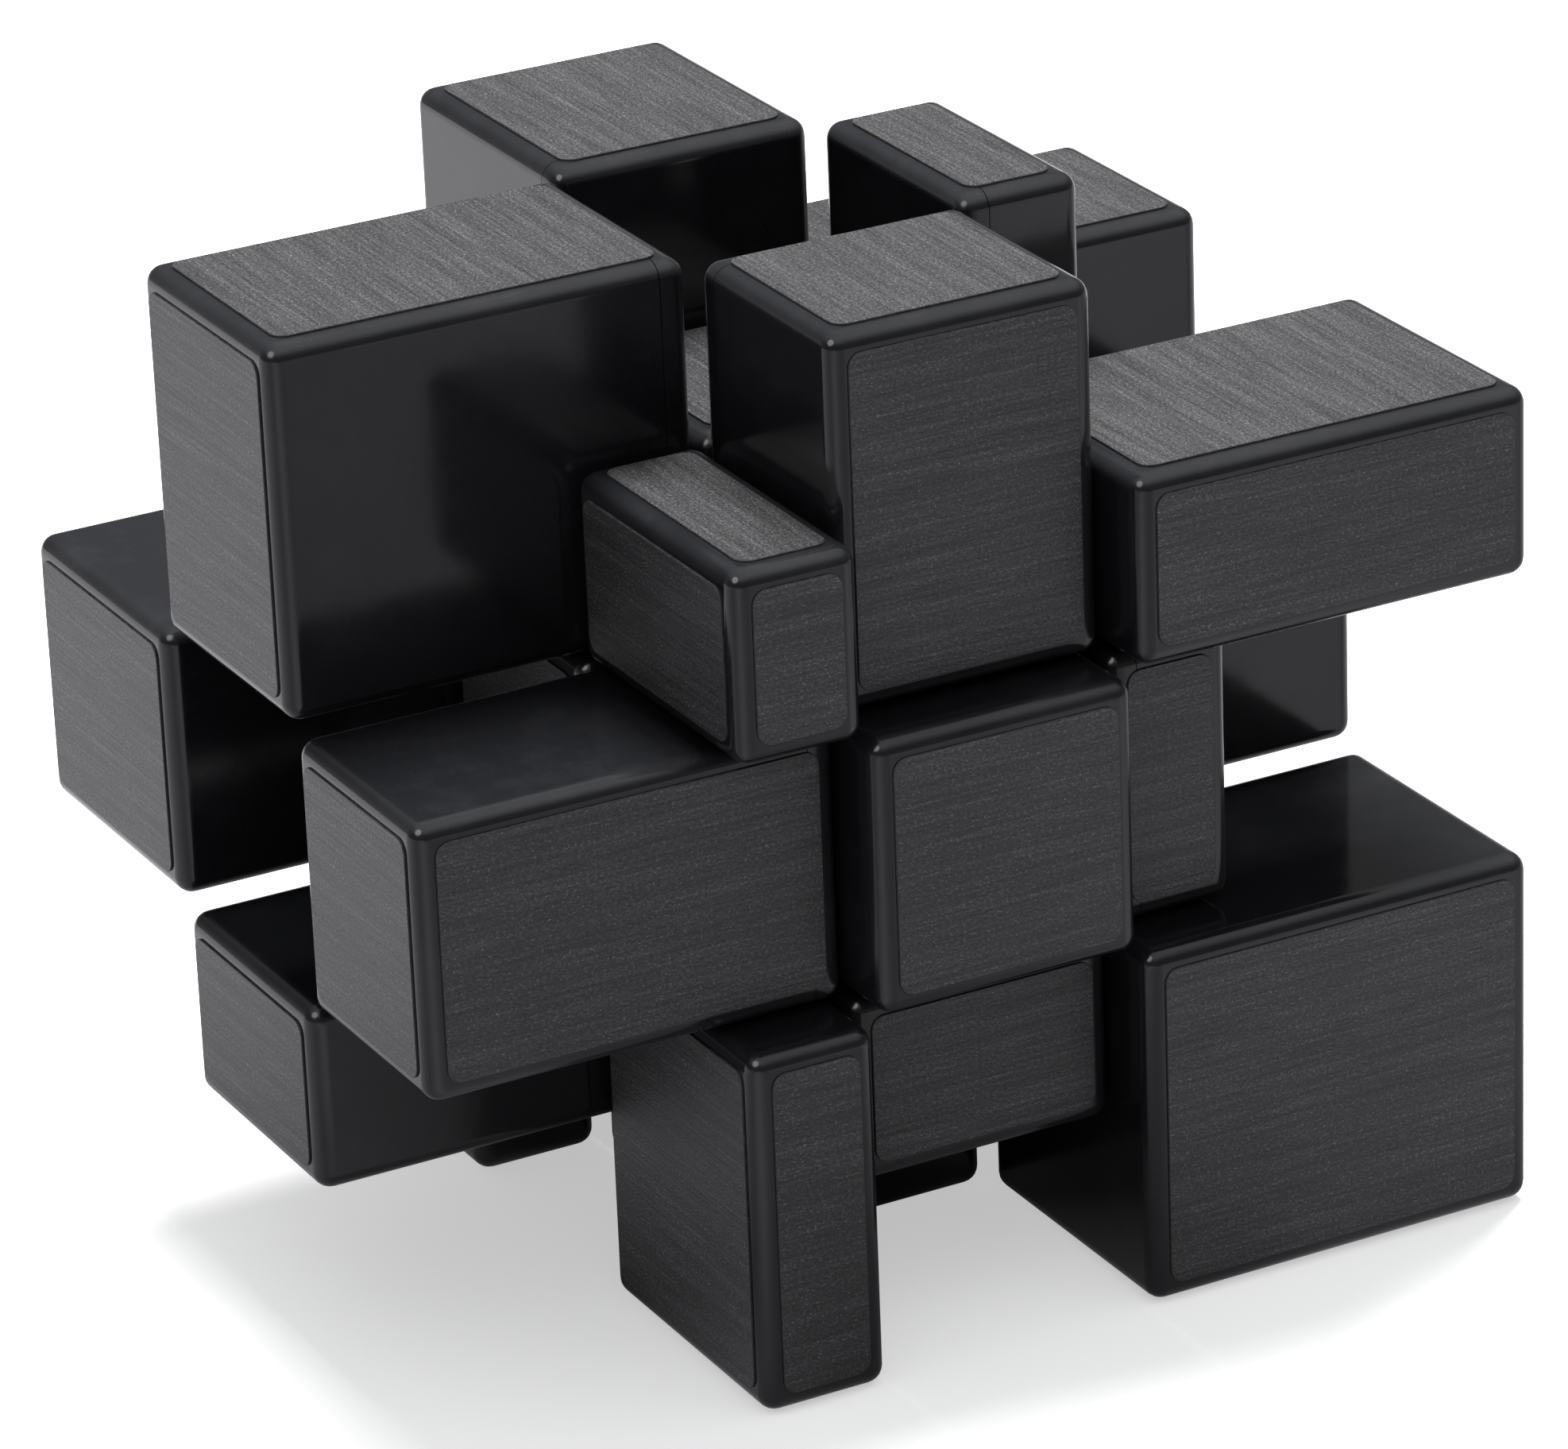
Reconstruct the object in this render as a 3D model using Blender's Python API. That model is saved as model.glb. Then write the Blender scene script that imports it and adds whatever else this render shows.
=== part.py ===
"""Mirror block cube: a 3 x 3 x 3 turning puzzle whose layers differ in thickness, not in colour.

Every piece is placed around the core, which sits at the origin: +X is right, -Y is front, +Z is up.
Each side's middle block (centre), its edges and its corners reach a different distance from the core
for each side, so that the solved puzzle is a plain cube. Here it stands in its checkerboard pattern:
each edge is at the place diametrically opposite its own, so it carries its opposite sides' reaches.
"""

import itertools
import math

import bmesh
import bpy
from mathutils import Matrix, Vector

MM = 0.001

# Driving dimensions of the puzzle.
CUBE = 57.0 * MM  # side of the solved cube
MIDDLE = 19.0 * MM  # thickness of every middle layer
STEP = 4.0 * MM  # each of the six sides reaches one step further than the last
BLOCK_GAP = 0.4 * MM  # open slot between neighbouring blocks
ROUNDING = 1.2 * MM  # radius of the blocks' edges
ROUNDING_STEPS = 2
WALL = 1.6 * MM  # thickness of the moulded shells
FIT = 0.3 * MM  # clearance between pieces that touch or slide

# The mechanism: feet slide in a ring-shaped track around each axis.
TRACK_INNER = 5.0 * MM  # distance of the track's floor from the core, along its axis
TRACK_RADIUS = 16.4 * MM  # outer radius of the track
CORNER_FOOT = 13.2 * MM  # how far a corner's foot reaches along each axis
CORNER_NECK = 12.5 * MM  # how far the neck above it reaches into the corner's block
EDGE_FOOT = 15.2 * MM  # how far an edge's foot reaches along each axis
PLATE = 2.0 * MM  # thickness of the plate that closes an edge
EDGE_HOLLOW = 12.7 * MM  # where the hollow of an edge begins, past the track
DRAIN_RADIUS = 1.2 * MM  # opening through a corner's foot into its hollow

# The stack along each of the six axes, as distances from the core.
HUB = 4.2 * MM
ARM_RADIUS = 2.4 * MM
ARM_END = 8.6 * MM
ARM_HOLE_START = 4.2 * MM
ARM_BORE_RADIUS = ARM_RADIUS + FIT
SHELF_LOW = ARM_END + FIT
SHELF_HIGH = 10.2 * MM
SHANK_RADIUS = 1.15 * MM
SHANK_START = 4.6 * MM
HEAD_RADIUS = 2.7 * MM
HEAD_LOW = 14.5 * MM
HEAD_HIGH = 16.5 * MM
HEAD_BORE_RADIUS = 3.3 * MM
DRIVE_LENGTH = 3.2 * MM  # cross recess in the screw head
DRIVE_WIDTH = 0.8 * MM
DRIVE_DEPTH = 1.1 * MM
SPRING_RADIUS = 2.2 * MM
WIRE_RADIUS = 0.3 * MM
SPRING_TURNS = 3.5
POCKET_FLOOR = 17.3 * MM
POCKET_HALF = 6.8 * MM
REBATE_HALF = 7.75 * MM
CAP_THICKNESS = 0.9 * MM

ROUND_STEPS = 32  # facets of the track's cylinders
SMALL_STEPS = 12  # facets of screws, arms and bores
TURN_STEPS = 10  # stations in one turn of a spring
WIRE_STEPS = 5
OVERRUN = 3.0 * MM  # how far a cutter runs past the face that it opens
SHARP_ANGLE = math.radians(35)

AXES = (0, 1, 2)
SIDES = (-1, 1)
SIDE_NAMES = {
    (0, -1): "left",
    (0, 1): "right",
    (1, -1): "front",
    (1, 1): "back",
    (2, -1): "bottom",
    (2, 1): "top",
}
# The six sides ranked from the thinnest outer layer to the thickest.
RANKS = {(0, -1): 0, (2, 1): 1, (1, 1): 2, (1, -1): 3, (2, -1): 4, (0, 1): 5}

FACE_NEAR = (MIDDLE + BLOCK_GAP) / 2  # inner faces of the outer layers' blocks
FACE_MIDDLE = (MIDDLE - BLOCK_GAP) / 2  # outer faces of the middle layers' blocks
FOOT_START = TRACK_INNER + FIT / 2
FOOT_HALF = TRACK_INNER - FIT / 2
FOOT_RADIUS = TRACK_RADIUS - FIT / 2
NECK_START = (MIDDLE + FIT) / 2
NOTCH_RADIUS = TRACK_RADIUS + FIT / 2


def reach(axis, side):
    """How far a side's blocks reach from the core in the solved cube."""
    half_steps = 2 * RANKS[(axis, side)] - (len(RANKS) - 1)
    return CUBE / 2 + STEP * half_steps / 2


def clear_scene():
    for item in list(bpy.data.objects):
        bpy.data.objects.remove(item, do_unlink=True)


def principled(name, color, roughness, metallic):
    material = bpy.data.materials.new(name)
    material.use_nodes = True
    shader = material.node_tree.nodes["Principled BSDF"]
    shader.inputs["Base Color"].default_value = (*color, 1.0)
    shader.inputs["Roughness"].default_value = roughness
    shader.inputs["Metallic"].default_value = metallic
    return material


def to_object(name, shape):
    """Turns a bmesh into an object with its faces pointing out."""
    bmesh.ops.recalc_face_normals(shape, faces=shape.faces)
    mesh = bpy.data.meshes.new(name)
    shape.to_mesh(mesh)
    shape.free()
    item = bpy.data.objects.new(name, mesh)
    bpy.context.scene.collection.objects.link(item)
    return item


def box(name, low, high, radius=0.0):
    """A box between two corners, with rounded edges where a radius is given."""
    low, high = Vector(low), Vector(high)
    shape = bmesh.new()
    size = Matrix.Diagonal((*(high - low), 1.0))
    bmesh.ops.create_cube(shape, size=1.0, matrix=Matrix.Translation((low + high) / 2) @ size)
    if radius:
        bmesh.ops.bevel(
            shape,
            geom=shape.edges[:],
            offset=radius,
            offset_type="OFFSET",
            segments=ROUNDING_STEPS,
            profile=0.5,
            affect="EDGES",
        )
    return to_object(name, shape)


def toward(axis, side):
    """The rotation that carries +Z onto one of the six directions."""
    direction = Vector((0.0, 0.0, 0.0))
    direction[axis] = side
    return Vector((0.0, 0.0, 1.0)).rotation_difference(direction).to_matrix().to_4x4()


def rod(name, axis, side, start, end, radius, steps):
    """A cylinder along one of the six directions, between two distances from the core."""
    shape = bmesh.new()
    bmesh.ops.create_cone(
        shape,
        cap_ends=True,
        segments=steps,
        radius1=radius,
        radius2=radius,
        depth=end - start,
        matrix=toward(axis, side) @ Matrix.Translation((0.0, 0.0, (start + end) / 2)),
    )
    return to_object(name, shape)


def combine(item, tool, operation):
    """Applies a Boolean to the first object's mesh, and uses the second one up."""
    modifier = item.modifiers.new(operation.lower(), "BOOLEAN")
    modifier.operation = operation
    modifier.solver = "EXACT"
    modifier.object = tool
    depsgraph = bpy.context.evaluated_depsgraph_get()
    result = bpy.data.meshes.new_from_object(item.evaluated_get(depsgraph))
    item.modifiers.remove(modifier)
    item.data = result
    bpy.data.objects.remove(tool, do_unlink=True)


def span(side, near, far):
    """The lower and higher coordinate of a stretch on one side of the core."""
    return tuple(sorted((side * near, side * far)))


def corners_of(spans):
    """The lowest and highest corner of a box given by its span along each axis."""
    return [stretch[0] for stretch in spans], [stretch[1] for stretch in spans]


def finish(item, name, material, parent):
    item.name = name
    item.data.name = name
    item.data.materials.clear()
    item.data.materials.append(material)
    item.data.shade_smooth()
    item.data.set_sharp_from_angle(angle=SHARP_ANGLE)
    item.parent = parent


def trim_to_tracks(foot):
    """Rounds a foot to the tracks of all three axes."""
    for axis in AXES:
        # The facet counts differ, so that no three facets meet in one line.
        steps = ROUND_STEPS + 4 * axis
        track = rod("track", axis, 1, -CUBE, CUBE, FOOT_RADIUS, steps)
        combine(foot, track, "INTERSECT")


def cut_notches(item, axis):
    """Clears the track of one axis where its outer layers sweep through a middle block."""
    for side in SIDES:
        notch = rod("notch", axis, side, FOOT_HALF, MIDDLE, NOTCH_RADIUS, ROUND_STEPS)
        combine(item, notch, "DIFFERENCE")


def make_core(material, parent):
    """The hub with six hollow arms that take the screws."""
    core = box("core", (-HUB,) * 3, (HUB,) * 3, ROUNDING)
    for axis, side in itertools.product(AXES, SIDES):
        arm = rod("arm", axis, side, HUB / 2, ARM_END, ARM_RADIUS, SMALL_STEPS)
        combine(core, arm, "UNION")
    for axis, side in itertools.product(AXES, SIDES):
        hole = rod("hole", axis, side, ARM_HOLE_START, ARM_END + OVERRUN, SHANK_RADIUS + FIT, SMALL_STEPS)
        combine(core, hole, "DIFFERENCE")
    finish(core, "core", material, parent)


def make_screw():
    """A pan-head screw along +Z with a cross recess."""
    screw = rod("screw", 2, 1, SHANK_START, HEAD_LOW + FIT, SHANK_RADIUS, SMALL_STEPS)
    head = rod("head", 2, 1, HEAD_LOW, HEAD_HIGH, HEAD_RADIUS, SMALL_STEPS)
    combine(screw, head, "UNION")
    for long_axis in (0, 1):
        half = [DRIVE_WIDTH / 2, DRIVE_WIDTH / 2]
        half[long_axis] = DRIVE_LENGTH / 2
        low = (-half[0], -half[1], HEAD_HIGH - DRIVE_DEPTH)
        high = (half[0], half[1], HEAD_HIGH + OVERRUN)
        combine(screw, box("drive", low, high), "DIFFERENCE")
    return screw


def make_spring():
    """A compression spring along +Z, between the centre's shelf and the screw head."""
    low = SHELF_HIGH + FIT + WIRE_RADIUS
    rise = HEAD_LOW - FIT - WIRE_RADIUS - low
    stations = round(SPRING_TURNS * TURN_STEPS)
    shape = bmesh.new()
    rings = []
    for station in range(stations + 1):
        turn = 2 * math.pi * station / TURN_STEPS
        outward = Vector((math.cos(turn), math.sin(turn), 0.0))
        middle = outward * SPRING_RADIUS + Vector((0.0, 0.0, low + rise * station / stations))
        ring = []
        for step in range(WIRE_STEPS):
            angle = 2 * math.pi * step / WIRE_STEPS
            around = outward * math.cos(angle) + Vector((0.0, 0.0, math.sin(angle)))
            ring.append(shape.verts.new(middle + around * WIRE_RADIUS))
        rings.append(ring)
    for ring, following in itertools.pairwise(rings):
        for step in range(WIRE_STEPS):
            after = (step + 1) % WIRE_STEPS
            shape.faces.new((ring[step], ring[after], following[after], following[step]))
    shape.faces.new(rings[0])
    shape.faces.new(rings[-1])
    return to_object("spring", shape)


def place_on_axes(pattern, stem, material, parent):
    """Puts a copy of a piece made along +Z on each of the six axes."""
    finish(pattern, stem, material, None)
    for axis, side in itertools.product(AXES, SIDES):
        copy = bpy.data.objects.new(f"{stem}_{SIDE_NAMES[(axis, side)]}", pattern.data)
        bpy.context.scene.collection.objects.link(copy)
        copy.matrix_world = toward(axis, side)
        copy.parent = parent
    bpy.data.objects.remove(pattern, do_unlink=True)


def square_spans(axis, side, half, start, end):
    """Spans of a square bar along one of the six directions."""
    spans = [(-half, half)] * 3
    spans[axis] = span(side, start, end)
    return spans


def make_centre(axis, side, material, parent):
    """A centre: hollow block on a square stem, bored for arm, screw and spring, and its inset cap."""
    name = SIDE_NAMES[(axis, side)]
    top = reach(axis, side)
    rebate_floor = top - CAP_THICKNESS - FIT
    body = square_spans(axis, side, FACE_MIDDLE, FOOT_START, top)
    base = box("base", *corners_of(body), ROUNDING)
    for other in AXES:
        if other != axis:
            cut_notches(base, other)
    bores = (
        (0.0, SHELF_LOW, ARM_BORE_RADIUS),
        (SHELF_LOW - OVERRUN, SHELF_HIGH + OVERRUN, SHANK_RADIUS + FIT),
        (SHELF_HIGH, POCKET_FLOOR + FIT, HEAD_BORE_RADIUS),
    )
    for start, end, radius in bores:
        combine(base, rod("bore", axis, side, start, end, radius, SMALL_STEPS), "DIFFERENCE")
    if rebate_floor > POCKET_FLOOR + FIT:
        pocket = square_spans(axis, side, POCKET_HALF, POCKET_FLOOR, rebate_floor + FIT)
        combine(base, box("pocket", *corners_of(pocket)), "DIFFERENCE")
    rebate = square_spans(axis, side, REBATE_HALF, rebate_floor, top + OVERRUN)
    combine(base, box("rebate", *corners_of(rebate)), "DIFFERENCE")
    finish(base, f"centre_{name}_base", material, parent)
    plate = square_spans(axis, side, REBATE_HALF - FIT, top - CAP_THICKNESS, top)
    cap = box("cap", *corners_of(plate))
    finish(cap, f"centre_{name}_cap", material, parent)


def foot_of_edge(axis, places):
    """The L-shaped foot: one toe under each neighbouring centre, and a root up into the shell."""
    plated, plain = sorted(places)
    root = FACE_NEAR + PLATE + 2 * FIT
    under = FACE_NEAR - FIT
    outline = (
        (FOOT_START, FOOT_START),
        (EDGE_FOOT, FOOT_START),
        (EDGE_FOOT, FACE_NEAR + WALL),
        (root, FACE_NEAR + WALL),
        (root, under),
        (under, under),
        (under, EDGE_FOOT),
        (FOOT_START, EDGE_FOOT),
    )
    shape = bmesh.new()
    ring = []
    for across, along in outline:
        point = Vector((0.0, 0.0, 0.0))
        point[axis] = -FOOT_HALF
        point[plated] = places[plated] * across
        point[plain] = places[plain] * along
        ring.append(shape.verts.new(point))
    face = shape.faces.new(ring)
    grown = bmesh.ops.extrude_face_region(shape, geom=[face])
    moved = [part for part in grown["geom"] if isinstance(part, bmesh.types.BMVert)]
    push = Vector((0.0, 0.0, 0.0))
    push[axis] = 2 * FOOT_HALF
    bmesh.ops.translate(shape, verts=moved, vec=push)
    return to_object("foot", shape)


def make_edge(axis, places, material, parent):
    """An edge: a shell with its foot, hollow behind a plate on the side that faces the core's axis."""
    name = "_".join(SIDE_NAMES[(place, places[place])] for place in sorted(places))
    plated = min(places)
    side = places[plated]
    spans = [(-FACE_MIDDLE, FACE_MIDDLE)] * 3
    hollow = [(WALL - FACE_MIDDLE, FACE_MIDDLE - WALL)] * 3
    for place, sign in places.items():
        far = reach(place, -sign)
        spans[place] = span(sign, FACE_NEAR, far)
        hollow[place] = span(sign, EDGE_HOLLOW, far - WALL)
    seam = FACE_NEAR + PLATE
    hollow[plated] = span(side, seam, reach(plated, -side) - WALL)

    shell = box("shell", *corners_of(spans), ROUNDING)
    cut_notches(shell, axis)
    plate = shell.copy()
    plate.data = shell.data.copy()
    bpy.context.scene.collection.objects.link(plate)

    beyond = [(-CUBE, CUBE)] * 3
    beyond[plated] = span(side, seam, CUBE)
    combine(plate, box("beyond", *corners_of(beyond)), "DIFFERENCE")
    finish(plate, f"edge_{name}_plate", material, parent)

    before = [(-CUBE, CUBE)] * 3
    before[plated] = span(side, 0.0, seam + FIT)
    combine(shell, box("before", *corners_of(before)), "DIFFERENCE")
    combine(shell, box("hollow", *corners_of(hollow)), "DIFFERENCE")
    combine(shell, foot_of_edge(axis, places), "UNION")
    finish(shell, f"edge_{name}_shell", material, parent)


def make_corner(signs, material, parent):
    """A corner: hollow block with a foot in all three tracks, open through the foot's tip."""
    name = "_".join(SIDE_NAMES[(axis, signs[axis])] for axis in AXES)
    block = [span(signs[axis], FACE_NEAR, reach(axis, signs[axis])) for axis in AXES]
    corner = box("corner", *corners_of(block), ROUNDING)
    foot = box("foot", *corners_of([span(sign, FOOT_START, CORNER_FOOT) for sign in signs]))
    trim_to_tracks(foot)
    neck = box("neck", *corners_of([span(sign, NECK_START, CORNER_NECK) for sign in signs]))
    combine(foot, neck, "UNION")
    combine(corner, foot, "UNION")
    start = FACE_NEAR + WALL
    hollow = [span(signs[axis], start, reach(axis, signs[axis]) - WALL) for axis in AXES]
    combine(corner, box("hollow", *corners_of(hollow)), "DIFFERENCE")
    diagonal = Vector(signs).normalized()
    turn = Vector((0.0, 0.0, 1.0)).rotation_difference(diagonal).to_matrix().to_4x4()
    length = (start + WALL) * math.sqrt(3)
    shape = bmesh.new()
    bmesh.ops.create_cone(
        shape,
        cap_ends=True,
        segments=SMALL_STEPS,
        radius1=DRAIN_RADIUS,
        radius2=DRAIN_RADIUS,
        depth=length,
        matrix=turn @ Matrix.Translation((0.0, 0.0, length / 2)),
    )
    combine(corner, to_object("drain", shape), "DIFFERENCE")
    finish(corner, f"corner_{name}", material, parent)


def layer_frames():
    """One empty on the turning axis for each horizontal layer."""
    frames = {}
    for side, name in ((-1, "bottom_layer"), (0, "middle_layer"), (1, "top_layer")):
        frames[side] = bpy.data.objects.new(name, None)
        bpy.context.scene.collection.objects.link(frames[side])
    return frames


def main():
    clear_scene()
    black = principled("block_black", (0.012, 0.012, 0.013), 0.22, 0.0)
    grey = principled("core_black", (0.02, 0.02, 0.021), 0.45, 0.0)
    steel = principled("fastener_steel", (0.6, 0.6, 0.62), 0.3, 1.0)
    frames = layer_frames()

    make_core(grey, frames[0])
    place_on_axes(make_screw(), "screw", steel, frames[0])
    place_on_axes(make_spring(), "spring", steel, frames[0])
    for axis, side in itertools.product(AXES, SIDES):
        make_centre(axis, side, black, frames[side if axis == 2 else 0])
    for axis in AXES:
        others = [other for other in AXES if other != axis]
        for pair in itertools.product(SIDES, repeat=2):
            places = dict(zip(others, pair))
            make_edge(axis, places, black, frames[places.get(2, 0)])
    for signs in itertools.product(SIDES, repeat=3):
        make_corner(signs, black, frames[signs[2]])


main()
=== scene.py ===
"""Looks of the mirror block cube: finely rounded blocks, brushed film on outer faces, camera and light.

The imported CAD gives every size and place. Each CAD block is replaced by a finer block with the same faces,
and carries one film for each side of the cube that it belongs to.
"""
import itertools
import math

import bmesh
import bpy
from mathutils import Matrix, Vector


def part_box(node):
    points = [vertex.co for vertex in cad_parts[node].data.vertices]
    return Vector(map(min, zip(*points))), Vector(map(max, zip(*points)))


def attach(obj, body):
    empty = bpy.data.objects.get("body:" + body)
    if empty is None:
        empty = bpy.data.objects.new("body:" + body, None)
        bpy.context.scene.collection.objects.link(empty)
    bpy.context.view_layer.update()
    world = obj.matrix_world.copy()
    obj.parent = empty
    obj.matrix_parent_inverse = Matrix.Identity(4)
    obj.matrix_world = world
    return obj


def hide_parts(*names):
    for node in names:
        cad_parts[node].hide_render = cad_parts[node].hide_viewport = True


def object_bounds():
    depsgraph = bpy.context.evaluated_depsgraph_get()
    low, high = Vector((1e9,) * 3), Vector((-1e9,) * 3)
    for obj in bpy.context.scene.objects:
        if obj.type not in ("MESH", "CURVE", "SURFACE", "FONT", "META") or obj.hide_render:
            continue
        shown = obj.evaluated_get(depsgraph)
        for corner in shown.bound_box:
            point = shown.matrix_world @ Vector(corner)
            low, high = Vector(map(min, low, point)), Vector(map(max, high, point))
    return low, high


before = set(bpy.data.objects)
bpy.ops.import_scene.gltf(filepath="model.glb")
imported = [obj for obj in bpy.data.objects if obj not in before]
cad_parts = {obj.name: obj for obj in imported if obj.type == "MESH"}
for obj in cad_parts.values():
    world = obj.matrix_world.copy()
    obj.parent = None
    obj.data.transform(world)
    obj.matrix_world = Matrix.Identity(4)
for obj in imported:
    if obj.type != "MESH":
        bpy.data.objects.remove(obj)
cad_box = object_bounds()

MM = 0.001

# Block geometry beyond what the CAD boxes give.
ROUNDING = 1.2 * MM
ROUNDING_STEPS = 6
WALL = 1.6 * MM
FIT = 0.3 * MM
SEAM = 0.06 * MM  # open joint between an edge's shell and its plate
CORNER_FOOT = 13.2 * MM
CORNER_NECK = 12.5 * MM
EDGE_FOOT = 15.2 * MM
EDGE_HOLLOW = 12.7 * MM
TRACK_INNER = 5.0 * MM
TRACK_RADIUS = 16.4 * MM
DRAIN_RADIUS = 1.2 * MM
ARM_BORE_RADIUS = 2.7 * MM
SHELF_LOW = 8.9 * MM
SHELF_HIGH = 10.2 * MM
SHANK_BORE_RADIUS = 1.45 * MM
HEAD_BORE_RADIUS = 3.3 * MM
POCKET_FLOOR = 17.3 * MM
POCKET_HALF = 6.8 * MM
ROUND_STEPS = 96
BORE_STEPS = 48
OVERRUN = 3.0 * MM
SHARP_ANGLE = math.radians(32)
OUTSIDE = 1.0  # further than any part of the object reaches

# Films.
FILM_MARGIN = 1.3 * MM  # from a block's outer face to the film's edge
FILM_THICKNESS = 0.13 * MM
FILM_CORNER = 1.0 * MM
FILM_CORNER_STEPS = 8
FILM_LIP = 0.04 * MM  # rounding along the film's upper edge
FILM_DIRECTIONS = {0: (1, 2), 1: (0, 2), 2: (1, 0)}  # along and across the brushing, by the face's axis

# Patterns on the plastic, in cells of noise for each metre.
CLOUD_SCALE = 90.0
HAZE_SCALE = 130.0
SWELL_SCALE = 210.0
GRIT_SCALE = 2600.0
DUST_SCALE = 8000.0
SCRATCHES_ALONG_X = (260.0, 5200.0, 3600.0)
SCRATCHES_ALONG_Y = (4300.0, 330.0, 3000.0)
SCRATCH_RANGE = (0.74, 0.84)
SWELL_HEIGHT = 0.03 * MM
GRIT_HEIGHT = 0.004 * MM

# Patterns on the film, in cells for each millimetre along and across the brushing.
BRUSH_LINES = (0.12, 4.0, 1.0)
BRUSH_GROUND = (4.0, 6.5, 1.0)
BRUSH_STREAKS = (0.05, 1.0, 1.0)
# Cells of the film's own metal flecks; their pale base colour also paints glints.
FLECK_CELLS = (7.0, 9.5, 1.0)
BRUSH_DEPTH = 0.055 * MM

# The view.
CAMERA_AZIMUTH = math.radians(-27.50)
CAMERA_ELEVATION = math.radians(23.27)
CAMERA_ROLL = math.radians(-2.277)
CAMERA_DISTANCE = 512.6 * MM
CAMERA_LENS = 181.0
CAMERA_SENSOR = 36.0
AIM_RIGHT = 0.57 * MM
AIM_DOWN = 2.33 * MM

# The lamps, aimed at the core.
OVERHEAD_PLACE = (0.18, 0.30, 0.86)
OVERHEAD_SIZE = 0.50
OVERHEAD_POWER = 27.0
SOFTBOX_PLACE = (-0.60, -0.25, 0.62)
SOFTBOX_SIZE = 0.62
SOFTBOX_POWER = 3.4

# The dome. A direction's height is its Z, and its heading is its Y: -1 ahead of the object, 1 behind it.
DOME_COLOUR = (0.97, 0.98, 1.0, 1.0)
DOME_BASE = 0.15
DOME_OVERHEAD = 0.80
DOME_OVERHEAD_HEIGHTS = (0.45, 0.85)
DOME_OVERHEAD_HEADINGS = (-0.4, 0.6)
DOME_OVERHEAD_LEVELS = (1.0, 0.45)
DOME_BACKDROP = 0.15
DOME_BACKDROP_HEADINGS = (0.2, 0.7)
DOME_BACKDROP_HEIGHTS = (0.12, 0.30)

# The floor, as paint for the camera and, for every other ray, as a glowing table of painted light, with
# painted shade under the object.
FLOOR_REACH = 3.0
FLOOR_GLOW = 0.5
# The table's glow is painted light, at these levels by heading.
TABLE_LEVELS = ((0.0, 0.46), (0.10, 0.90), (0.27, 0.45), (0.6, 0.9), (1.0, 1.4))  # from ahead to behind
TABLE_TINT = (0.99, 0.98, 1.03)
# Painted shade: the table's glow is dimmed near the object, out to these distances.
TABLE_SHADE = (0.015, 0.070)  # the shade under the object ends between these distances
TABLE_SHADE_LEVELS = (0.04, 1.0)

AXES = (0, 1, 2)
SIDES = (-1, 1)
SIDE_NAMES = {
    (0, -1): "left",
    (0, 1): "right",
    (1, -1): "front",
    (1, 1): "back",
    (2, -1): "bottom",
    (2, 1): "top",
}
LAYERS = {-1: "bottom_layer", 0: "middle_layer", 1: "top_layer"}


def side_of(axis, side):
    return SIDE_NAMES[(axis, side)]


# Sizes read from the CAD.

FACE_NEAR = abs(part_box("edge_left_front_plate")[1][0])
SEAM_PLACE = abs(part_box("edge_left_front_plate")[0][0])
FACE_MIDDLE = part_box("centre_top_base")[1][0]
CAP_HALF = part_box("centre_top_cap")[1][0]
CAP_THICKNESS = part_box("centre_top_cap")[1][2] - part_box("centre_top_cap")[0][2]
FOOT_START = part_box("centre_top_base")[0][2]
FOOT_HALF = TRACK_INNER - FIT / 2
FOOT_RADIUS = TRACK_RADIUS - FIT / 2
NOTCH_RADIUS = TRACK_RADIUS + FIT / 2
MIDDLE_HALF = (FACE_NEAR + FACE_MIDDLE) / 2
FLOOR = cad_box[0][2]


def far_side(node, axis, side):
    """How far a CAD node reaches from the core on one side."""
    low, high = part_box(node)
    return high[axis] if side > 0 else -low[axis]


# Mesh helpers.


def to_object(name, shape):
    bmesh.ops.recalc_face_normals(shape, faces=shape.faces)
    mesh = bpy.data.meshes.new(name)
    shape.to_mesh(mesh)
    shape.free()
    item = bpy.data.objects.new(name, mesh)
    bpy.context.scene.collection.objects.link(item)
    return item


def box(name, low, high, radius=0.0):
    """A box between two corners, with rounded edges where a radius is given."""
    low, high = Vector(low), Vector(high)
    shape = bmesh.new()
    size = Matrix.Diagonal((*(high - low), 1.0))
    bmesh.ops.create_cube(shape, size=1.0, matrix=Matrix.Translation((low + high) / 2) @ size)
    if radius:
        bmesh.ops.bevel(
            shape,
            geom=shape.edges[:],
            offset=radius,
            offset_type="OFFSET",
            segments=ROUNDING_STEPS,
            profile=0.5,
            affect="EDGES",
        )
    return to_object(name, shape)


def toward(axis, side):
    """The rotation that carries +Z onto one of the six directions."""
    direction = Vector((0.0, 0.0, 0.0))
    direction[axis] = side
    return Vector((0.0, 0.0, 1.0)).rotation_difference(direction).to_matrix().to_4x4()


def rod(axis, side, start, end, radius, steps):
    """A cylinder along one of the six directions, between two distances from the core."""
    shape = bmesh.new()
    bmesh.ops.create_cone(
        shape,
        cap_ends=True,
        segments=steps,
        radius1=radius,
        radius2=radius,
        depth=end - start,
        matrix=toward(axis, side) @ Matrix.Translation((0.0, 0.0, (start + end) / 2)),
    )
    return to_object("rod", shape)


def combine(item, tool, operation):
    """Applies a Boolean to the first object's mesh, and uses the second one up."""
    modifier = item.modifiers.new(operation.lower(), "BOOLEAN")
    modifier.operation = operation
    modifier.solver = "EXACT"
    modifier.object = tool
    depsgraph = bpy.context.evaluated_depsgraph_get()
    result = bpy.data.meshes.new_from_object(item.evaluated_get(depsgraph))
    item.modifiers.remove(modifier)
    item.data = result
    bpy.data.objects.remove(tool, do_unlink=True)


def span(side, near, far):
    return tuple(sorted((side * near, side * far)))


def corners_of(spans):
    return [stretch[0] for stretch in spans], [stretch[1] for stretch in spans]


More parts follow.
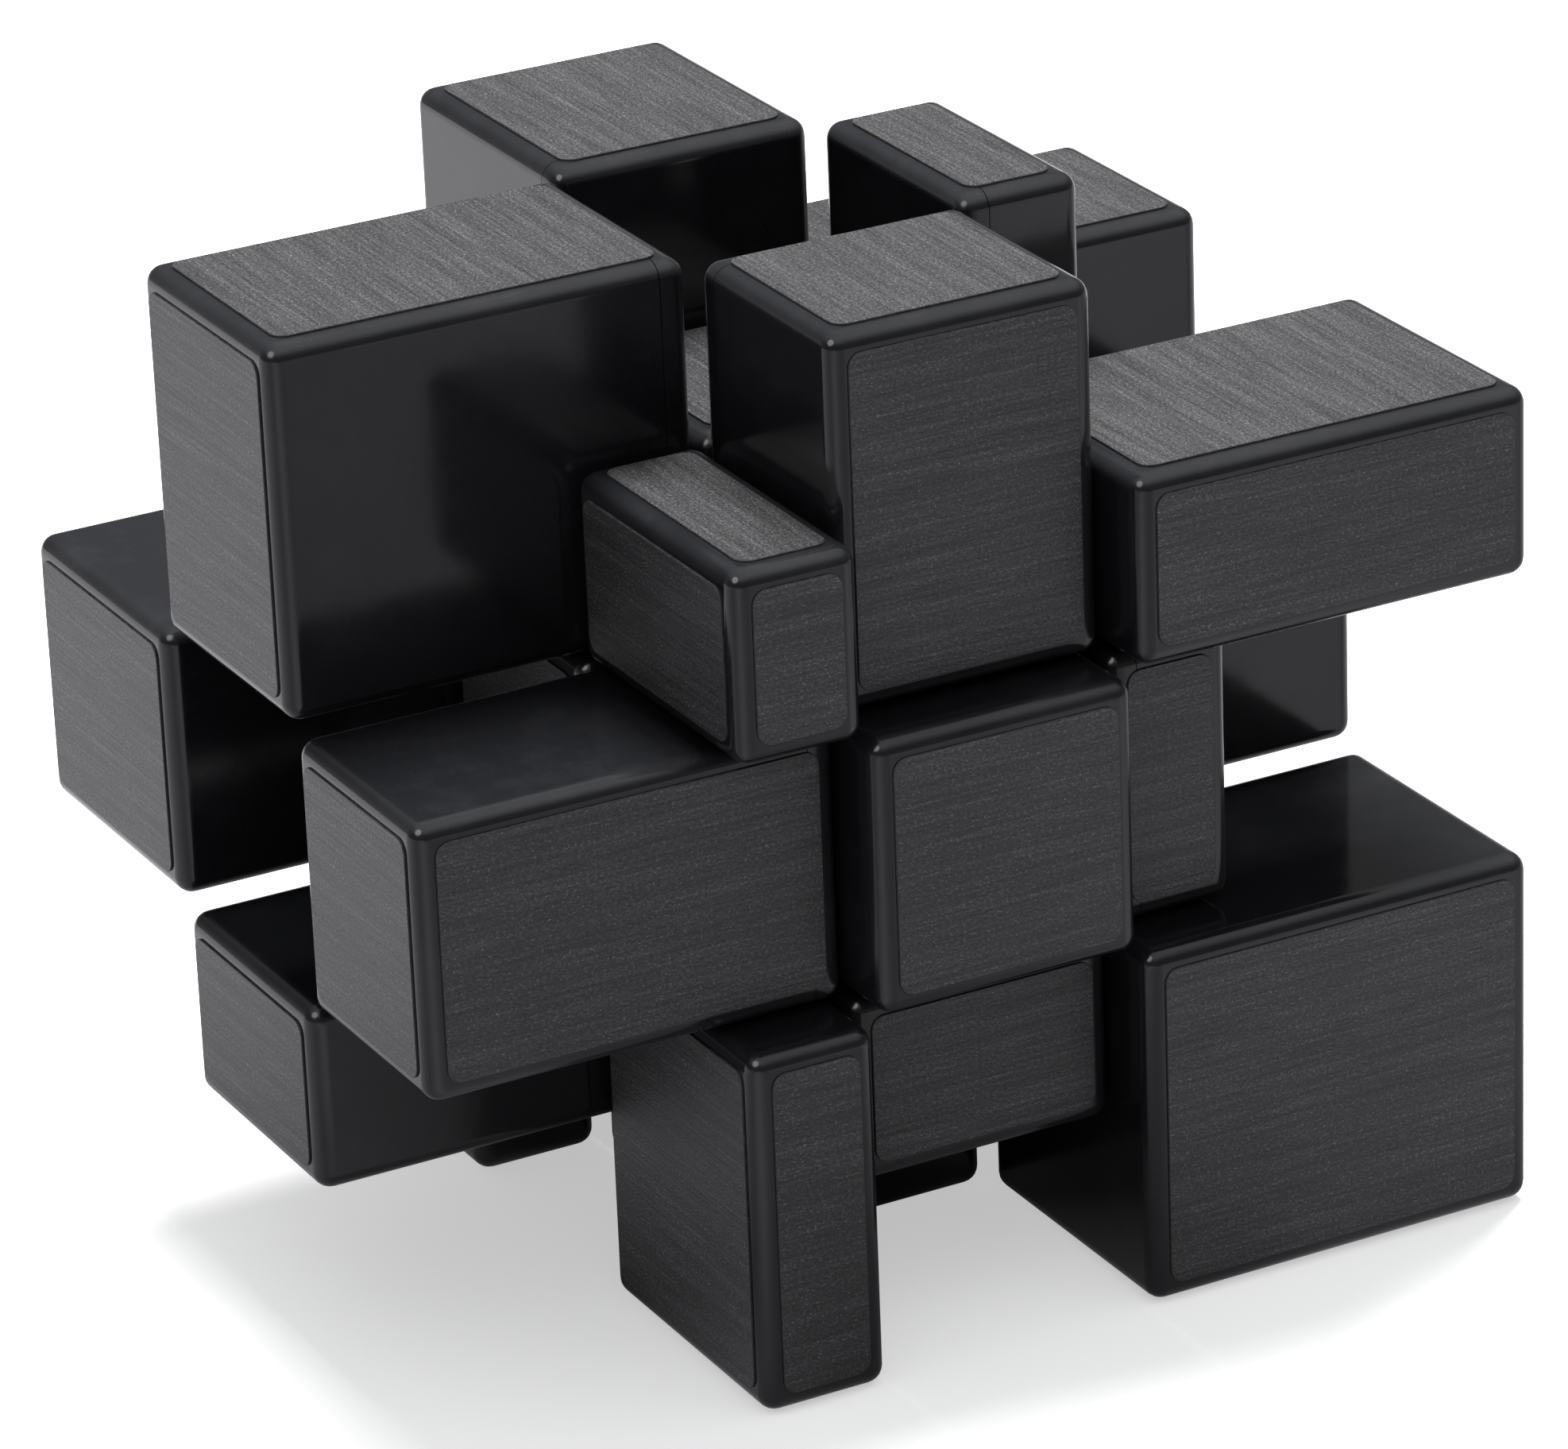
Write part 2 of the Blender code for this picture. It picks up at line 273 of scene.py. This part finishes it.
def mark_wear(mesh, spans):
    """Stores how close each point is to the crest of the block's rounded edges, from 0 to 1."""
    wear = mesh.attributes.new("wear", "FLOAT", "POINT")
    crest = ROUNDING * (1 - math.sqrt(0.5))
    for point, value in zip(mesh.vertices, wear.data):
        depths = []
        for axis, (low, high) in enumerate(spans):
            depths.append(min(point.co[axis] - low, high - point.co[axis]))
        second = sorted(depths)[1]
        value.value = max(0.0, 1.0 - abs(second - crest) / (ROUNDING - crest))


def finish_block(item, name, spans, material):
    """Smooth shading with flat faces kept flat, and the plastic."""
    item.name = name
    item.data.name = name
    item.data.materials.clear()
    item.data.materials.append(material)
    mark_wear(item.data, spans)
    item.data.shade_smooth()
    item.data.set_sharp_from_angle(angle=SHARP_ANGLE)
    flat = item.modifiers.new("flat faces", "WEIGHTED_NORMAL")
    flat.keep_sharp = True
    flat.weight = 100


# Pieces.


def cut_notches(item, axis):
    """Clears the track of one axis where its outer layers sweep through a middle block."""
    for side in SIDES:
        notch = rod(axis, side, FOOT_HALF, 2 * MIDDLE_HALF, NOTCH_RADIUS, ROUND_STEPS)
        combine(item, notch, "DIFFERENCE")


def square_spans(axis, side, half, start, end):
    """Spans of a square bar along one of the six directions."""
    spans = [(-half, half)] * 3
    spans[axis] = span(side, start, end)
    return spans


def make_centre(axis, side, material, body):
    name = side_of(axis, side)
    top = far_side(f"centre_{name}_base", axis, side)
    rebate_floor = top - CAP_THICKNESS - FIT
    spans = square_spans(axis, side, FACE_MIDDLE, FOOT_START, top)
    base = box("base", *corners_of(spans), ROUNDING)
    for other in AXES:
        if other != axis:
            cut_notches(base, other)
    bores = (
        (0.0, SHELF_LOW, ARM_BORE_RADIUS),
        (SHELF_LOW - OVERRUN, SHELF_HIGH + OVERRUN, SHANK_BORE_RADIUS),
        (SHELF_HIGH, POCKET_FLOOR + FIT, HEAD_BORE_RADIUS),
    )
    for start, end, radius in bores:
        combine(base, rod(axis, side, start, end, radius, BORE_STEPS), "DIFFERENCE")
    if rebate_floor > POCKET_FLOOR + FIT:
        pocket = square_spans(axis, side, POCKET_HALF, POCKET_FLOOR, rebate_floor + FIT)
        combine(base, box("pocket", *corners_of(pocket)), "DIFFERENCE")
    rebate = square_spans(axis, side, CAP_HALF + FIT, rebate_floor, top + OVERRUN)
    combine(base, box("rebate", *corners_of(rebate)), "DIFFERENCE")
    finish_block(base, f"centre_{name}_block", spans, material)
    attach(base, body)
    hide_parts(f"centre_{name}_base")
    return spans


def foot_of_edge(axis, places):
    """The L-shaped foot: one toe under each neighbouring centre, and a root up into the shell."""
    plated, plain = sorted(places)
    root = SEAM_PLACE + 2 * FIT
    under = FACE_NEAR - FIT
    outline = (
        (FOOT_START, FOOT_START),
        (EDGE_FOOT, FOOT_START),
        (EDGE_FOOT, FACE_NEAR + WALL),
        (root, FACE_NEAR + WALL),
        (root, under),
        (under, under),
        (under, EDGE_FOOT),
        (FOOT_START, EDGE_FOOT),
    )
    shape = bmesh.new()
    ring = []
    for across, along in outline:
        point = Vector((0.0, 0.0, 0.0))
        point[axis] = -FOOT_HALF
        point[plated] = places[plated] * across
        point[plain] = places[plain] * along
        ring.append(shape.verts.new(point))
    face = shape.faces.new(ring)
    grown = bmesh.ops.extrude_face_region(shape, geom=[face])
    moved = [part for part in grown["geom"] if isinstance(part, bmesh.types.BMVert)]
    push = Vector((0.0, 0.0, 0.0))
    push[axis] = 2 * FOOT_HALF
    bmesh.ops.translate(shape, verts=moved, vec=push)
    return to_object("foot", shape)


def make_edge(axis, places, material, body):
    """An edge's shell with its foot, and the plate beyond the seam."""
    name = "_".join(side_of(place, places[place]) for place in sorted(places))
    plated = min(places)
    side = places[plated]
    spans = [(-FACE_MIDDLE, FACE_MIDDLE)] * 3
    hollow = [(WALL - FACE_MIDDLE, FACE_MIDDLE - WALL)] * 3
    for place, sign in places.items():
        far = far_side(f"edge_{name}_shell", place, sign)
        spans[place] = span(sign, FACE_NEAR, far)
        hollow[place] = span(sign, EDGE_HOLLOW, far - WALL)
    hollow[plated] = span(side, SEAM_PLACE, far_side(f"edge_{name}_shell", plated, side) - WALL)

    shell = box("shell", *corners_of(spans), ROUNDING)
    cut_notches(shell, axis)
    plate = shell.copy()
    plate.data = shell.data.copy()
    bpy.context.scene.collection.objects.link(plate)

    beyond = [(-OUTSIDE, OUTSIDE)] * 3
    beyond[plated] = span(side, SEAM_PLACE, OUTSIDE)
    combine(plate, box("beyond", *corners_of(beyond)), "DIFFERENCE")
    finish_block(plate, f"edge_{name}_cover", spans, material)

    before = [(-OUTSIDE, OUTSIDE)] * 3
    before[plated] = span(side, -OUTSIDE, SEAM_PLACE + SEAM)
    combine(shell, box("before", *corners_of(before)), "DIFFERENCE")
    combine(shell, box("hollow", *corners_of(hollow)), "DIFFERENCE")
    combine(shell, foot_of_edge(axis, places), "UNION")
    finish_block(shell, f"edge_{name}_block", spans, material)

    for item, node in ((shell, f"edge_{name}_shell"), (plate, f"edge_{name}_plate")):
        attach(item, body)
        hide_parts(node)
    return spans


def make_corner(signs, material, body):
    """A corner: hollow block with a foot in all three tracks, open through the foot's tip."""
    name = "_".join(side_of(axis, signs[axis]) for axis in AXES)
    reaches = [far_side(f"corner_{name}", axis, signs[axis]) for axis in AXES]
    spans = [span(signs[axis], FACE_NEAR, reaches[axis]) for axis in AXES]
    corner = box("corner", *corners_of(spans), ROUNDING)
    foot = box("foot", *corners_of([span(sign, FOOT_START, CORNER_FOOT) for sign in signs]))
    for axis in AXES:
        # The facet counts differ, so that no three facets meet in one line.
        steps = ROUND_STEPS + 4 * axis
        combine(foot, rod(axis, 1, -OUTSIDE, OUTSIDE, FOOT_RADIUS, steps), "INTERSECT")
    neck_start = MIDDLE_HALF + FIT / 2
    neck = box("neck", *corners_of([span(sign, neck_start, CORNER_NECK) for sign in signs]))
    combine(foot, neck, "UNION")
    combine(corner, foot, "UNION")
    start = FACE_NEAR + WALL
    hollow = [span(signs[axis], start, reaches[axis] - WALL) for axis in AXES]
    combine(corner, box("hollow", *corners_of(hollow)), "DIFFERENCE")
    diagonal = Vector(signs).normalized()
    turn = Vector((0.0, 0.0, 1.0)).rotation_difference(diagonal).to_matrix().to_4x4()
    length = (start + WALL) * math.sqrt(3)
    shape = bmesh.new()
    bmesh.ops.create_cone(
        shape,
        cap_ends=True,
        segments=BORE_STEPS,
        radius1=DRAIN_RADIUS,
        radius2=DRAIN_RADIUS,
        depth=length,
        matrix=turn @ Matrix.Translation((0.0, 0.0, length / 2)),
    )
    combine(corner, to_object("drain", shape), "DIFFERENCE")
    finish_block(corner, f"corner_{name}_block", spans, material)
    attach(corner, body)
    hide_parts(f"corner_{name}")
    return spans


def rounded_outline(half_u, half_v, radius):
    """Points around a rectangle with round corners, anticlockwise."""
    points = []
    for turn, (sign_u, sign_v) in enumerate(((1, 1), (-1, 1), (-1, -1), (1, -1))):
        for step in range(FILM_CORNER_STEPS + 1):
            angle = math.pi / 2 * (turn + step / FILM_CORNER_STEPS)
            u = sign_u * (half_u - radius) + radius * math.cos(angle)
            v = sign_v * (half_v - radius) + radius * math.sin(angle)
            points.append((u, v))
    return points


def make_film(name, spans, axis, side, materials, body):
    """A film on one outer face of a block: thin slab with round corners and dark cut edges.

    Its map is in millimetres, along and across the brushing.
    """
    along, across = FILM_DIRECTIONS[axis]
    grain = Vector((0.0, 0.0, 0.0))
    grain[along] = 1.0
    rise = Vector((0.0, 0.0, 0.0))
    rise[across] = 1.0
    outward = Vector((0.0, 0.0, 0.0))
    outward[axis] = side
    middle = Vector([(low + high) / 2 for low, high in spans])
    middle[axis] = spans[axis][1] if side > 0 else spans[axis][0]
    half_u = (spans[along][1] - spans[along][0]) / 2 - FILM_MARGIN
    half_v = (spans[across][1] - spans[across][0]) / 2 - FILM_MARGIN

    shape = bmesh.new()
    grain_map = shape.loops.layers.uv.new("grain")
    rings = []
    for inset, height in ((0.0, 0.0), (0.0, FILM_THICKNESS - FILM_LIP), (FILM_LIP, FILM_THICKNESS)):
        ring = []
        for u, v in rounded_outline(half_u - inset, half_v - inset, FILM_CORNER - inset):
            ring.append(shape.verts.new(middle + grain * u + rise * v + outward * height))
        rings.append(ring)
    count = len(rings[0])
    for low, high in itertools.pairwise(rings):
        for step in range(count):
            after = (step + 1) % count
            wall = shape.faces.new((low[step], low[after], high[after], high[step]))
            wall.material_index = 1
    shape.faces.new(rings[-1])
    underside = shape.faces.new(rings[0])
    underside.material_index = 1
    for face in shape.faces:
        for loop in face.loops:
            point = loop.vert.co
            loop[grain_map].uv = (point.dot(grain) / MM, point.dot(rise) / MM)
    film = to_object(name, shape)
    for material in materials:
        film.data.materials.append(material)
    film.data.shade_smooth()
    film.data.set_sharp_from_angle(angle=SHARP_ANGLE)
    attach(film, body)
    return film


# Materials.


def new_material(name):
    material = bpy.data.materials.new(name)
    material.use_nodes = True
    return material, material.node_tree, material.node_tree.nodes["Principled BSDF"]


def add(tree, kind, **values):
    """A node with its named properties or inputs set."""
    node = tree.nodes.new(kind)
    for key, value in values.items():
        if key in node.inputs:
            node.inputs[key].default_value = value
        else:
            setattr(node, key, value)
    return node


def noise(tree, vector, scale, detail=2.0, roughness=0.5):
    node = add(tree, "ShaderNodeTexNoise", Scale=scale, Detail=detail, Roughness=roughness)
    tree.links.new(vector, node.inputs["Vector"])
    return node.outputs["Fac"]


def stretched(tree, vector, scale):
    node = tree.nodes.new("ShaderNodeMapping")
    node.inputs["Scale"].default_value = scale
    tree.links.new(vector, node.inputs["Vector"])
    return node.outputs["Vector"]


def ranged(tree, value, low, high, to_low, to_high):
    node = tree.nodes.new("ShaderNodeMapRange")
    for socket, number in zip(node.inputs[1:5], (low, high, to_low, to_high)):
        socket.default_value = number
    tree.links.new(value, node.inputs["Value"])
    return node.outputs["Result"]


def maths(tree, operation, first, second):
    node = add(tree, "ShaderNodeMath", operation=operation)
    for socket, value in zip(node.inputs, (first, second)):
        if isinstance(value, (int, float)):
            socket.default_value = value
        else:
            tree.links.new(value, socket)
    return node.outputs["Value"]


def weighted(tree, *parts):
    """The sum of (value, weight) pairs."""
    terms = [maths(tree, "MULTIPLY", value, weight) for value, weight in parts]
    total = terms[0]
    for term in terms[1:]:
        total = maths(tree, "ADD", total, term)
    return total


def ramp(tree, value, *stops):
    """A colour ramp from (place, colour) stops."""
    node = tree.nodes.new("ShaderNodeValToRGB")
    elements = node.color_ramp.elements
    while len(elements) < len(stops):
        elements.new(0.5)
    for element, (place, colour) in zip(elements, stops):
        element.position = place
        element.color = (*colour, 1.0)
    tree.links.new(value, node.inputs["Fac"])
    return node.outputs["Color"]


def bump(tree, height, distance, strength, before=None):
    node = add(tree, "ShaderNodeBump", Strength=strength, Distance=distance)
    tree.links.new(height, node.inputs["Height"])
    if before is not None:
        tree.links.new(before, node.inputs["Normal"])
    return node.outputs["Normal"]


def block_plastic():
    """Glossy black plastic with faint clouding, hairline scratches, dust and paler, duller crests."""
    material, tree, shader = new_material("block_plastic")
    place = tree.nodes.new("ShaderNodeTexCoord").outputs["Object"]
    cloud = noise(tree, place, CLOUD_SCALE, detail=4.0, roughness=0.6)
    haze = noise(tree, place, HAZE_SCALE, detail=6.0, roughness=0.7)
    grit = noise(tree, place, GRIT_SCALE, detail=2.0)
    dust = noise(tree, place, DUST_SCALE, detail=0.0)
    specks = ranged(tree, dust, 0.76, 0.84, 0.0, 1.0)
    scratch_x = noise(tree, stretched(tree, place, SCRATCHES_ALONG_X), 1.0, detail=1.0)
    scratch_y = noise(tree, stretched(tree, place, SCRATCHES_ALONG_Y), 1.0, detail=1.0)
    scratches = maths(
        tree,
        "MAXIMUM",
        ranged(tree, scratch_x, *SCRATCH_RANGE, 0.0, 1.0),
        ranged(tree, scratch_y, *SCRATCH_RANGE, 0.0, 1.0),
    )
    wear = add(tree, "ShaderNodeAttribute", attribute_name="wear").outputs["Fac"]
    worn = maths(tree, "MULTIPLY", wear, ranged(tree, cloud, 0.35, 0.65, 0.25, 1.0))
    clouded = ranged(tree, haze, 0.50, 0.75, 0.0, 1.0)
    marks = weighted(tree, (worn, 0.4), (specks, 0.5), (clouded, 0.45))
    tree.links.new(
        ramp(tree, marks, (0.0, (0.0102, 0.0105, 0.0122)), (1.0, (0.026, 0.0264, 0.0287))),
        shader.inputs["Base Color"],
    )
    smudges = ranged(tree, cloud, 0.35, 0.70, 0.10, 0.20)
    dull = weighted(tree, (smudges, 1.0), (scratches, 0.08), (worn, 0.06))
    tree.links.new(dull, shader.inputs["Roughness"])
    relief = weighted(tree, (grit, 0.25), (scratches, -0.15))
    swell = bump(tree, noise(tree, place, SWELL_SCALE, detail=2.0), SWELL_HEIGHT, 0.5)
    tree.links.new(bump(tree, relief, GRIT_HEIGHT, 0.4, swell), shader.inputs["Normal"])
    shader.inputs["IOR"].default_value = 1.5
    return material


def film_face():
    """Dark brushed film: fine parallel lines over a grainy ground, with metal flakes whose pale colour is
    partly painted glint.
    """
    material, tree, shader = new_material("sticker_film")
    grain = add(tree, "ShaderNodeUVMap", uv_map="grain").outputs["UV"]
    lines = noise(tree, stretched(tree, grain, BRUSH_LINES), 1.0, detail=2.0, roughness=0.7)
    ground = noise(tree, stretched(tree, grain, BRUSH_GROUND), 1.0, detail=2.0, roughness=0.8)
    streaks = noise(tree, stretched(tree, grain, BRUSH_STREAKS), 1.0, detail=3.0, roughness=0.6)
    cells = add(tree, "ShaderNodeTexVoronoi", Scale=1.0, Randomness=1.0)
    tree.links.new(stretched(tree, grain, FLECK_CELLS), cells.inputs["Vector"])
    cell_value = add(tree, "ShaderNodeSeparateColor")
    tree.links.new(cells.outputs["Color"], cell_value.inputs["Color"])
    near = ranged(tree, cells.outputs["Distance"], 0.05, 0.60, 1.0, 0.0)
    picked = maths(tree, "POWER", ranged(tree, cell_value.outputs["Red"], 0.5, 1.0, 0.0, 1.0), 2.0)
    # The film's metal flecks, given a pale diffuse colour that also serves as painted glints.
    flecks_and_glints = maths(tree, "MULTIPLY", near, picked)

    tone = weighted(tree, (lines, 0.27), (ground, 0.59), (streaks, 0.18), (flecks_and_glints, 0.34))
    tree.links.new(
        ramp(
            tree,
            tone,
            (0.36, (0.0092, 0.0091, 0.0095)),
            (0.50, (0.0350, 0.0345, 0.0357)),
            (0.62, (0.088, 0.087, 0.090)),
            (0.85, (0.34, 0.335, 0.35)),
        ),
        shader.inputs["Base Color"],
    )
    tree.links.new(ranged(tree, tone, 0.44, 0.80, 0.0, 0.5), shader.inputs["Metallic"])
    tree.links.new(ranged(tree, tone, 0.3, 0.9, 0.46, 0.34), shader.inputs["Roughness"])
    relief = weighted(tree, (lines, 1.0), (ground, 0.7), (flecks_and_glints, 0.8))
    tree.links.new(bump(tree, relief, BRUSH_DEPTH, 0.9), shader.inputs["Normal"])
    tangent = add(tree, "ShaderNodeTangent", direction_type="UV_MAP", uv_map="grain")
    tree.links.new(tangent.outputs["Tangent"], shader.inputs["Tangent"])
    shader.inputs["IOR"].default_value = 1.53
    shader.inputs["Anisotropic"].default_value = 0.4
    return material


def film_edge():
    """The film's cut edge: dull black with a slightly torn look."""
    material, tree, shader = new_material("film_edge")
    place = tree.nodes.new("ShaderNodeTexCoord").outputs["Object"]
    torn = noise(tree, place, 3000.0, detail=3.0)
    tree.links.new(
        ramp(tree, torn, (0.35, (0.010, 0.010, 0.0105)), (0.75, (0.04, 0.04, 0.041))),
        shader.inputs["Base Color"],
    )
    tree.links.new(ranged(tree, torn, 0.3, 0.7, 0.5, 0.75), shader.inputs["Roughness"])
    tree.links.new(bump(tree, torn, 0.02 * MM, 0.5), shader.inputs["Normal"])
    return material


def core_plastic():
    """Matt moulded plastic for the core and the caps under the films."""
    material, tree, shader = new_material("core_plastic")
    place = tree.nodes.new("ShaderNodeTexCoord").outputs["Object"]
    grit = noise(tree, place, 1800.0, detail=3.0)
    flow = noise(tree, place, 160.0, detail=2.0)
    tree.links.new(
        ramp(tree, flow, (0.3, (0.014, 0.014, 0.015)), (0.7, (0.024, 0.024, 0.025))),
        shader.inputs["Base Color"],
    )
    tree.links.new(ranged(tree, grit, 0.3, 0.7, 0.38, 0.55), shader.inputs["Roughness"])
    tree.links.new(bump(tree, grit, 0.01 * MM, 0.4), shader.inputs["Normal"])
    return material


def fastener_steel():
    """Zinc-plated steel with fine turning marks and dull patches."""
    material, tree, shader = new_material("fastener_steel")
    place = tree.nodes.new("ShaderNodeTexCoord").outputs["Object"]
    marks = noise(tree, place, 3200.0, detail=2.0)
    patches = noise(tree, place, 420.0, detail=3.0)
    tree.links.new(
        ramp(tree, patches, (0.3, (0.50, 0.50, 0.51)), (0.7, (0.66, 0.66, 0.68))),
        shader.inputs["Base Color"],
    )
    tree.links.new(ranged(tree, patches, 0.3, 0.7, 0.22, 0.42), shader.inputs["Roughness"])
    tree.links.new(bump(tree, marks, 0.006 * MM, 0.4), shader.inputs["Normal"])
    shader.inputs["Metallic"].default_value = 1.0
    return material


# Stage, light and camera.


def make_floor():
    """A plain pale floor, level with the lowest films."""
    shape = bmesh.new()
    bmesh.ops.create_grid(shape, x_segments=1, y_segments=1, size=FLOOR_REACH)
    floor = to_object("floor", shape)
    floor.location.z = FLOOR - FILM_THICKNESS
    material, tree, shader = new_material("floor_paint")
    place = tree.nodes.new("ShaderNodeTexCoord").outputs["Object"]
    mottle = noise(tree, place, 8.0, detail=2.0)
    tree.links.new(
        ramp(tree, mottle, (0.3, (0.86, 0.86, 0.86)), (0.7, (0.88, 0.88, 0.88))),
        shader.inputs["Base Color"],
    )
    shader.inputs["Roughness"].default_value = 0.9
    shader.inputs["Specular IOR Level"].default_value = 0.1
    shader.inputs["Emission Color"].default_value = (1.0, 1.0, 1.0, 1.0)
    shader.inputs["Emission Strength"].default_value = FLOOR_GLOW
    # Every ray but the camera's meets a glowing table of painted light: painted shade beneath the object,
    # uneven ahead, brightest behind.
    heading = add(tree, "ShaderNodeVectorMath", operation="NORMALIZE")
    tree.links.new(place, heading.inputs[0])
    parts = tree.nodes.new("ShaderNodeSeparateXYZ")
    tree.links.new(heading.outputs["Vector"], parts.inputs["Vector"])
    around = ramp(
        tree,
        ranged(tree, parts.outputs["Y"], -1.0, 1.0, 0.0, 1.0),
        *((stop, [level * part for part in TABLE_TINT]) for stop, level in TABLE_LEVELS),
    )
    reach = add(tree, "ShaderNodeVectorMath", operation="LENGTH")
    tree.links.new(place, reach.inputs[0])
    # The table emits light: painted light, with painted shade near the object.
    table = tree.nodes.new("ShaderNodeEmission")
    tree.links.new(around, table.inputs["Color"])
    tree.links.new(
        ranged(tree, reach.outputs["Value"], *TABLE_SHADE, *TABLE_SHADE_LEVELS),
        table.inputs["Strength"],
    )
    path = tree.nodes.new("ShaderNodeLightPath")
    mix = tree.nodes.new("ShaderNodeMixShader")
    tree.links.new(path.outputs["Is Camera Ray"], mix.inputs["Fac"])
    tree.links.new(table.outputs["Emission"], mix.inputs[1])
    tree.links.new(shader.outputs["BSDF"], mix.inputs[2])
    tree.links.new(mix.outputs["Shader"], tree.nodes["Material Output"].inputs["Surface"])
    floor.data.materials.append(material)


def area_light(name, place, size, power, mirrored):
    """A round soft light aimed at the core, either mirrored in the surfaces or lighting them."""
    data = bpy.data.lights.new(name, "AREA")
    data.shape = "DISK"
    data.size = size
    data.energy = power
    light = bpy.data.objects.new(name, data)
    bpy.context.scene.collection.objects.link(light)
    light.location = place
    light.rotation_euler = (-Vector(place)).to_track_quat("-Z", "Y").to_euler()
    light.visible_camera = False
    light.visible_glossy = mirrored
    light.visible_diffuse = not mirrored


def make_world():
    """A soft studio dome: brighter overhead than at the sides, and white where the camera sees it."""
    world = bpy.data.worlds.new("studio")
    world.use_nodes = True
    bpy.context.scene.world = world
    tree = world.node_tree
    direction = tree.nodes.new("ShaderNodeTexCoord").outputs["Generated"]
    parts = tree.nodes.new("ShaderNodeSeparateXYZ")
    tree.links.new(direction, parts.inputs["Vector"])
    height, heading = parts.outputs["Z"], parts.outputs["Y"]
    overhead = ranged(tree, height, *DOME_OVERHEAD_HEIGHTS, 0.0, DOME_OVERHEAD)
    share = ranged(tree, heading, *DOME_OVERHEAD_HEADINGS, *DOME_OVERHEAD_LEVELS)
    overhead = maths(tree, "MULTIPLY", overhead, share)
    behind = ranged(tree, heading, *DOME_BACKDROP_HEADINGS, 0.0, DOME_BACKDROP)
    low = ranged(tree, height, *DOME_BACKDROP_HEIGHTS, 1.0, 0.0)
    level = maths(tree, "ADD", overhead, maths(tree, "MULTIPLY", behind, low))
    level = maths(tree, "ADD", level, DOME_BASE)
    dim = tree.nodes["Background"]
    dim.inputs["Color"].default_value = DOME_COLOUR
    tree.links.new(level, dim.inputs["Strength"])
    seen = add(tree, "ShaderNodeBackground", Color=(1.0, 1.0, 1.0, 1.0), Strength=1.0)
    path = tree.nodes.new("ShaderNodeLightPath")
    mix = tree.nodes.new("ShaderNodeMixShader")
    tree.links.new(path.outputs["Is Camera Ray"], mix.inputs["Fac"])
    tree.links.new(dim.outputs["Background"], mix.inputs[1])
    tree.links.new(seen.outputs["Background"], mix.inputs[2])
    tree.links.new(mix.outputs["Shader"], tree.nodes["World Output"].inputs["Surface"])


def camera_axes():
    """Right, up and back of the camera, with its roll."""
    azimuth, elevation = CAMERA_AZIMUTH, CAMERA_ELEVATION
    back = Vector(
        (
            math.sin(azimuth) * math.cos(elevation),
            -math.cos(azimuth) * math.cos(elevation),
            math.sin(elevation),
        )
    )
    right = Vector((math.cos(azimuth), math.sin(azimuth), 0.0))
    up = back.cross(right)
    rolled_right = right * math.cos(CAMERA_ROLL) + up * math.sin(CAMERA_ROLL)
    return rolled_right, back.cross(rolled_right), back


def make_camera():
    right, up, back = camera_axes()
    data = bpy.data.cameras.new("camera")
    data.lens = CAMERA_LENS
    data.sensor_width = CAMERA_SENSOR
    data.clip_start = 0.05
    data.clip_end = 20.0
    camera = bpy.data.objects.new("camera", data)
    bpy.context.scene.collection.objects.link(camera)
    place = right * AIM_RIGHT - up * AIM_DOWN + back * CAMERA_DISTANCE
    camera.matrix_world = Matrix.Translation(place) @ Matrix((right, up, back)).transposed().to_4x4()
    bpy.context.scene.camera = camera


def dress(node, material):
    """Gives a CAD node that stays in view its material."""
    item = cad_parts[node]
    item.data.materials.clear()
    item.data.materials.append(material)


def main():
    plastic = block_plastic()
    films = (film_face(), film_edge())
    inner = core_plastic()
    steel = fastener_steel()

    for axis, side in itertools.product(AXES, SIDES):
        name = side_of(axis, side)
        body = LAYERS[side if axis == 2 else 0]
        spans = make_centre(axis, side, plastic, body)
        make_film(f"film_centre_{name}", spans, axis, side, films, body)
        dress(f"centre_{name}_cap", inner)
        dress(f"screw_{name}", steel)
        dress(f"spring_{name}", steel)
    dress("core", inner)
    for axis in AXES:
        others = [other for other in AXES if other != axis]
        for pair in itertools.product(SIDES, repeat=2):
            places = dict(zip(others, pair))
            body = LAYERS[places.get(2, 0)]
            spans = make_edge(axis, places, plastic, body)
            name = "_".join(side_of(place, places[place]) for place in sorted(places))
            for place, side in places.items():
                make_film(f"film_{name}_{side_of(place, side)}", spans, place, side, films, body)
    for signs in itertools.product(SIDES, repeat=3):
        body = LAYERS[signs[2]]
        spans = make_corner(signs, plastic, body)
        name = "_".join(side_of(axis, signs[axis]) for axis in AXES)
        for axis in AXES:
            make_film(f"film_{name}_{side_of(axis, signs[axis])}", spans, axis, signs[axis], films, body)

    make_floor()
    make_world()
    area_light("overhead", OVERHEAD_PLACE, OVERHEAD_SIZE, OVERHEAD_POWER, mirrored=False)
    area_light("softbox", SOFTBOX_PLACE, SOFTBOX_SIZE, SOFTBOX_POWER, mirrored=True)
    make_camera()
    bpy.context.scene.view_settings.view_transform = "Standard"


main()
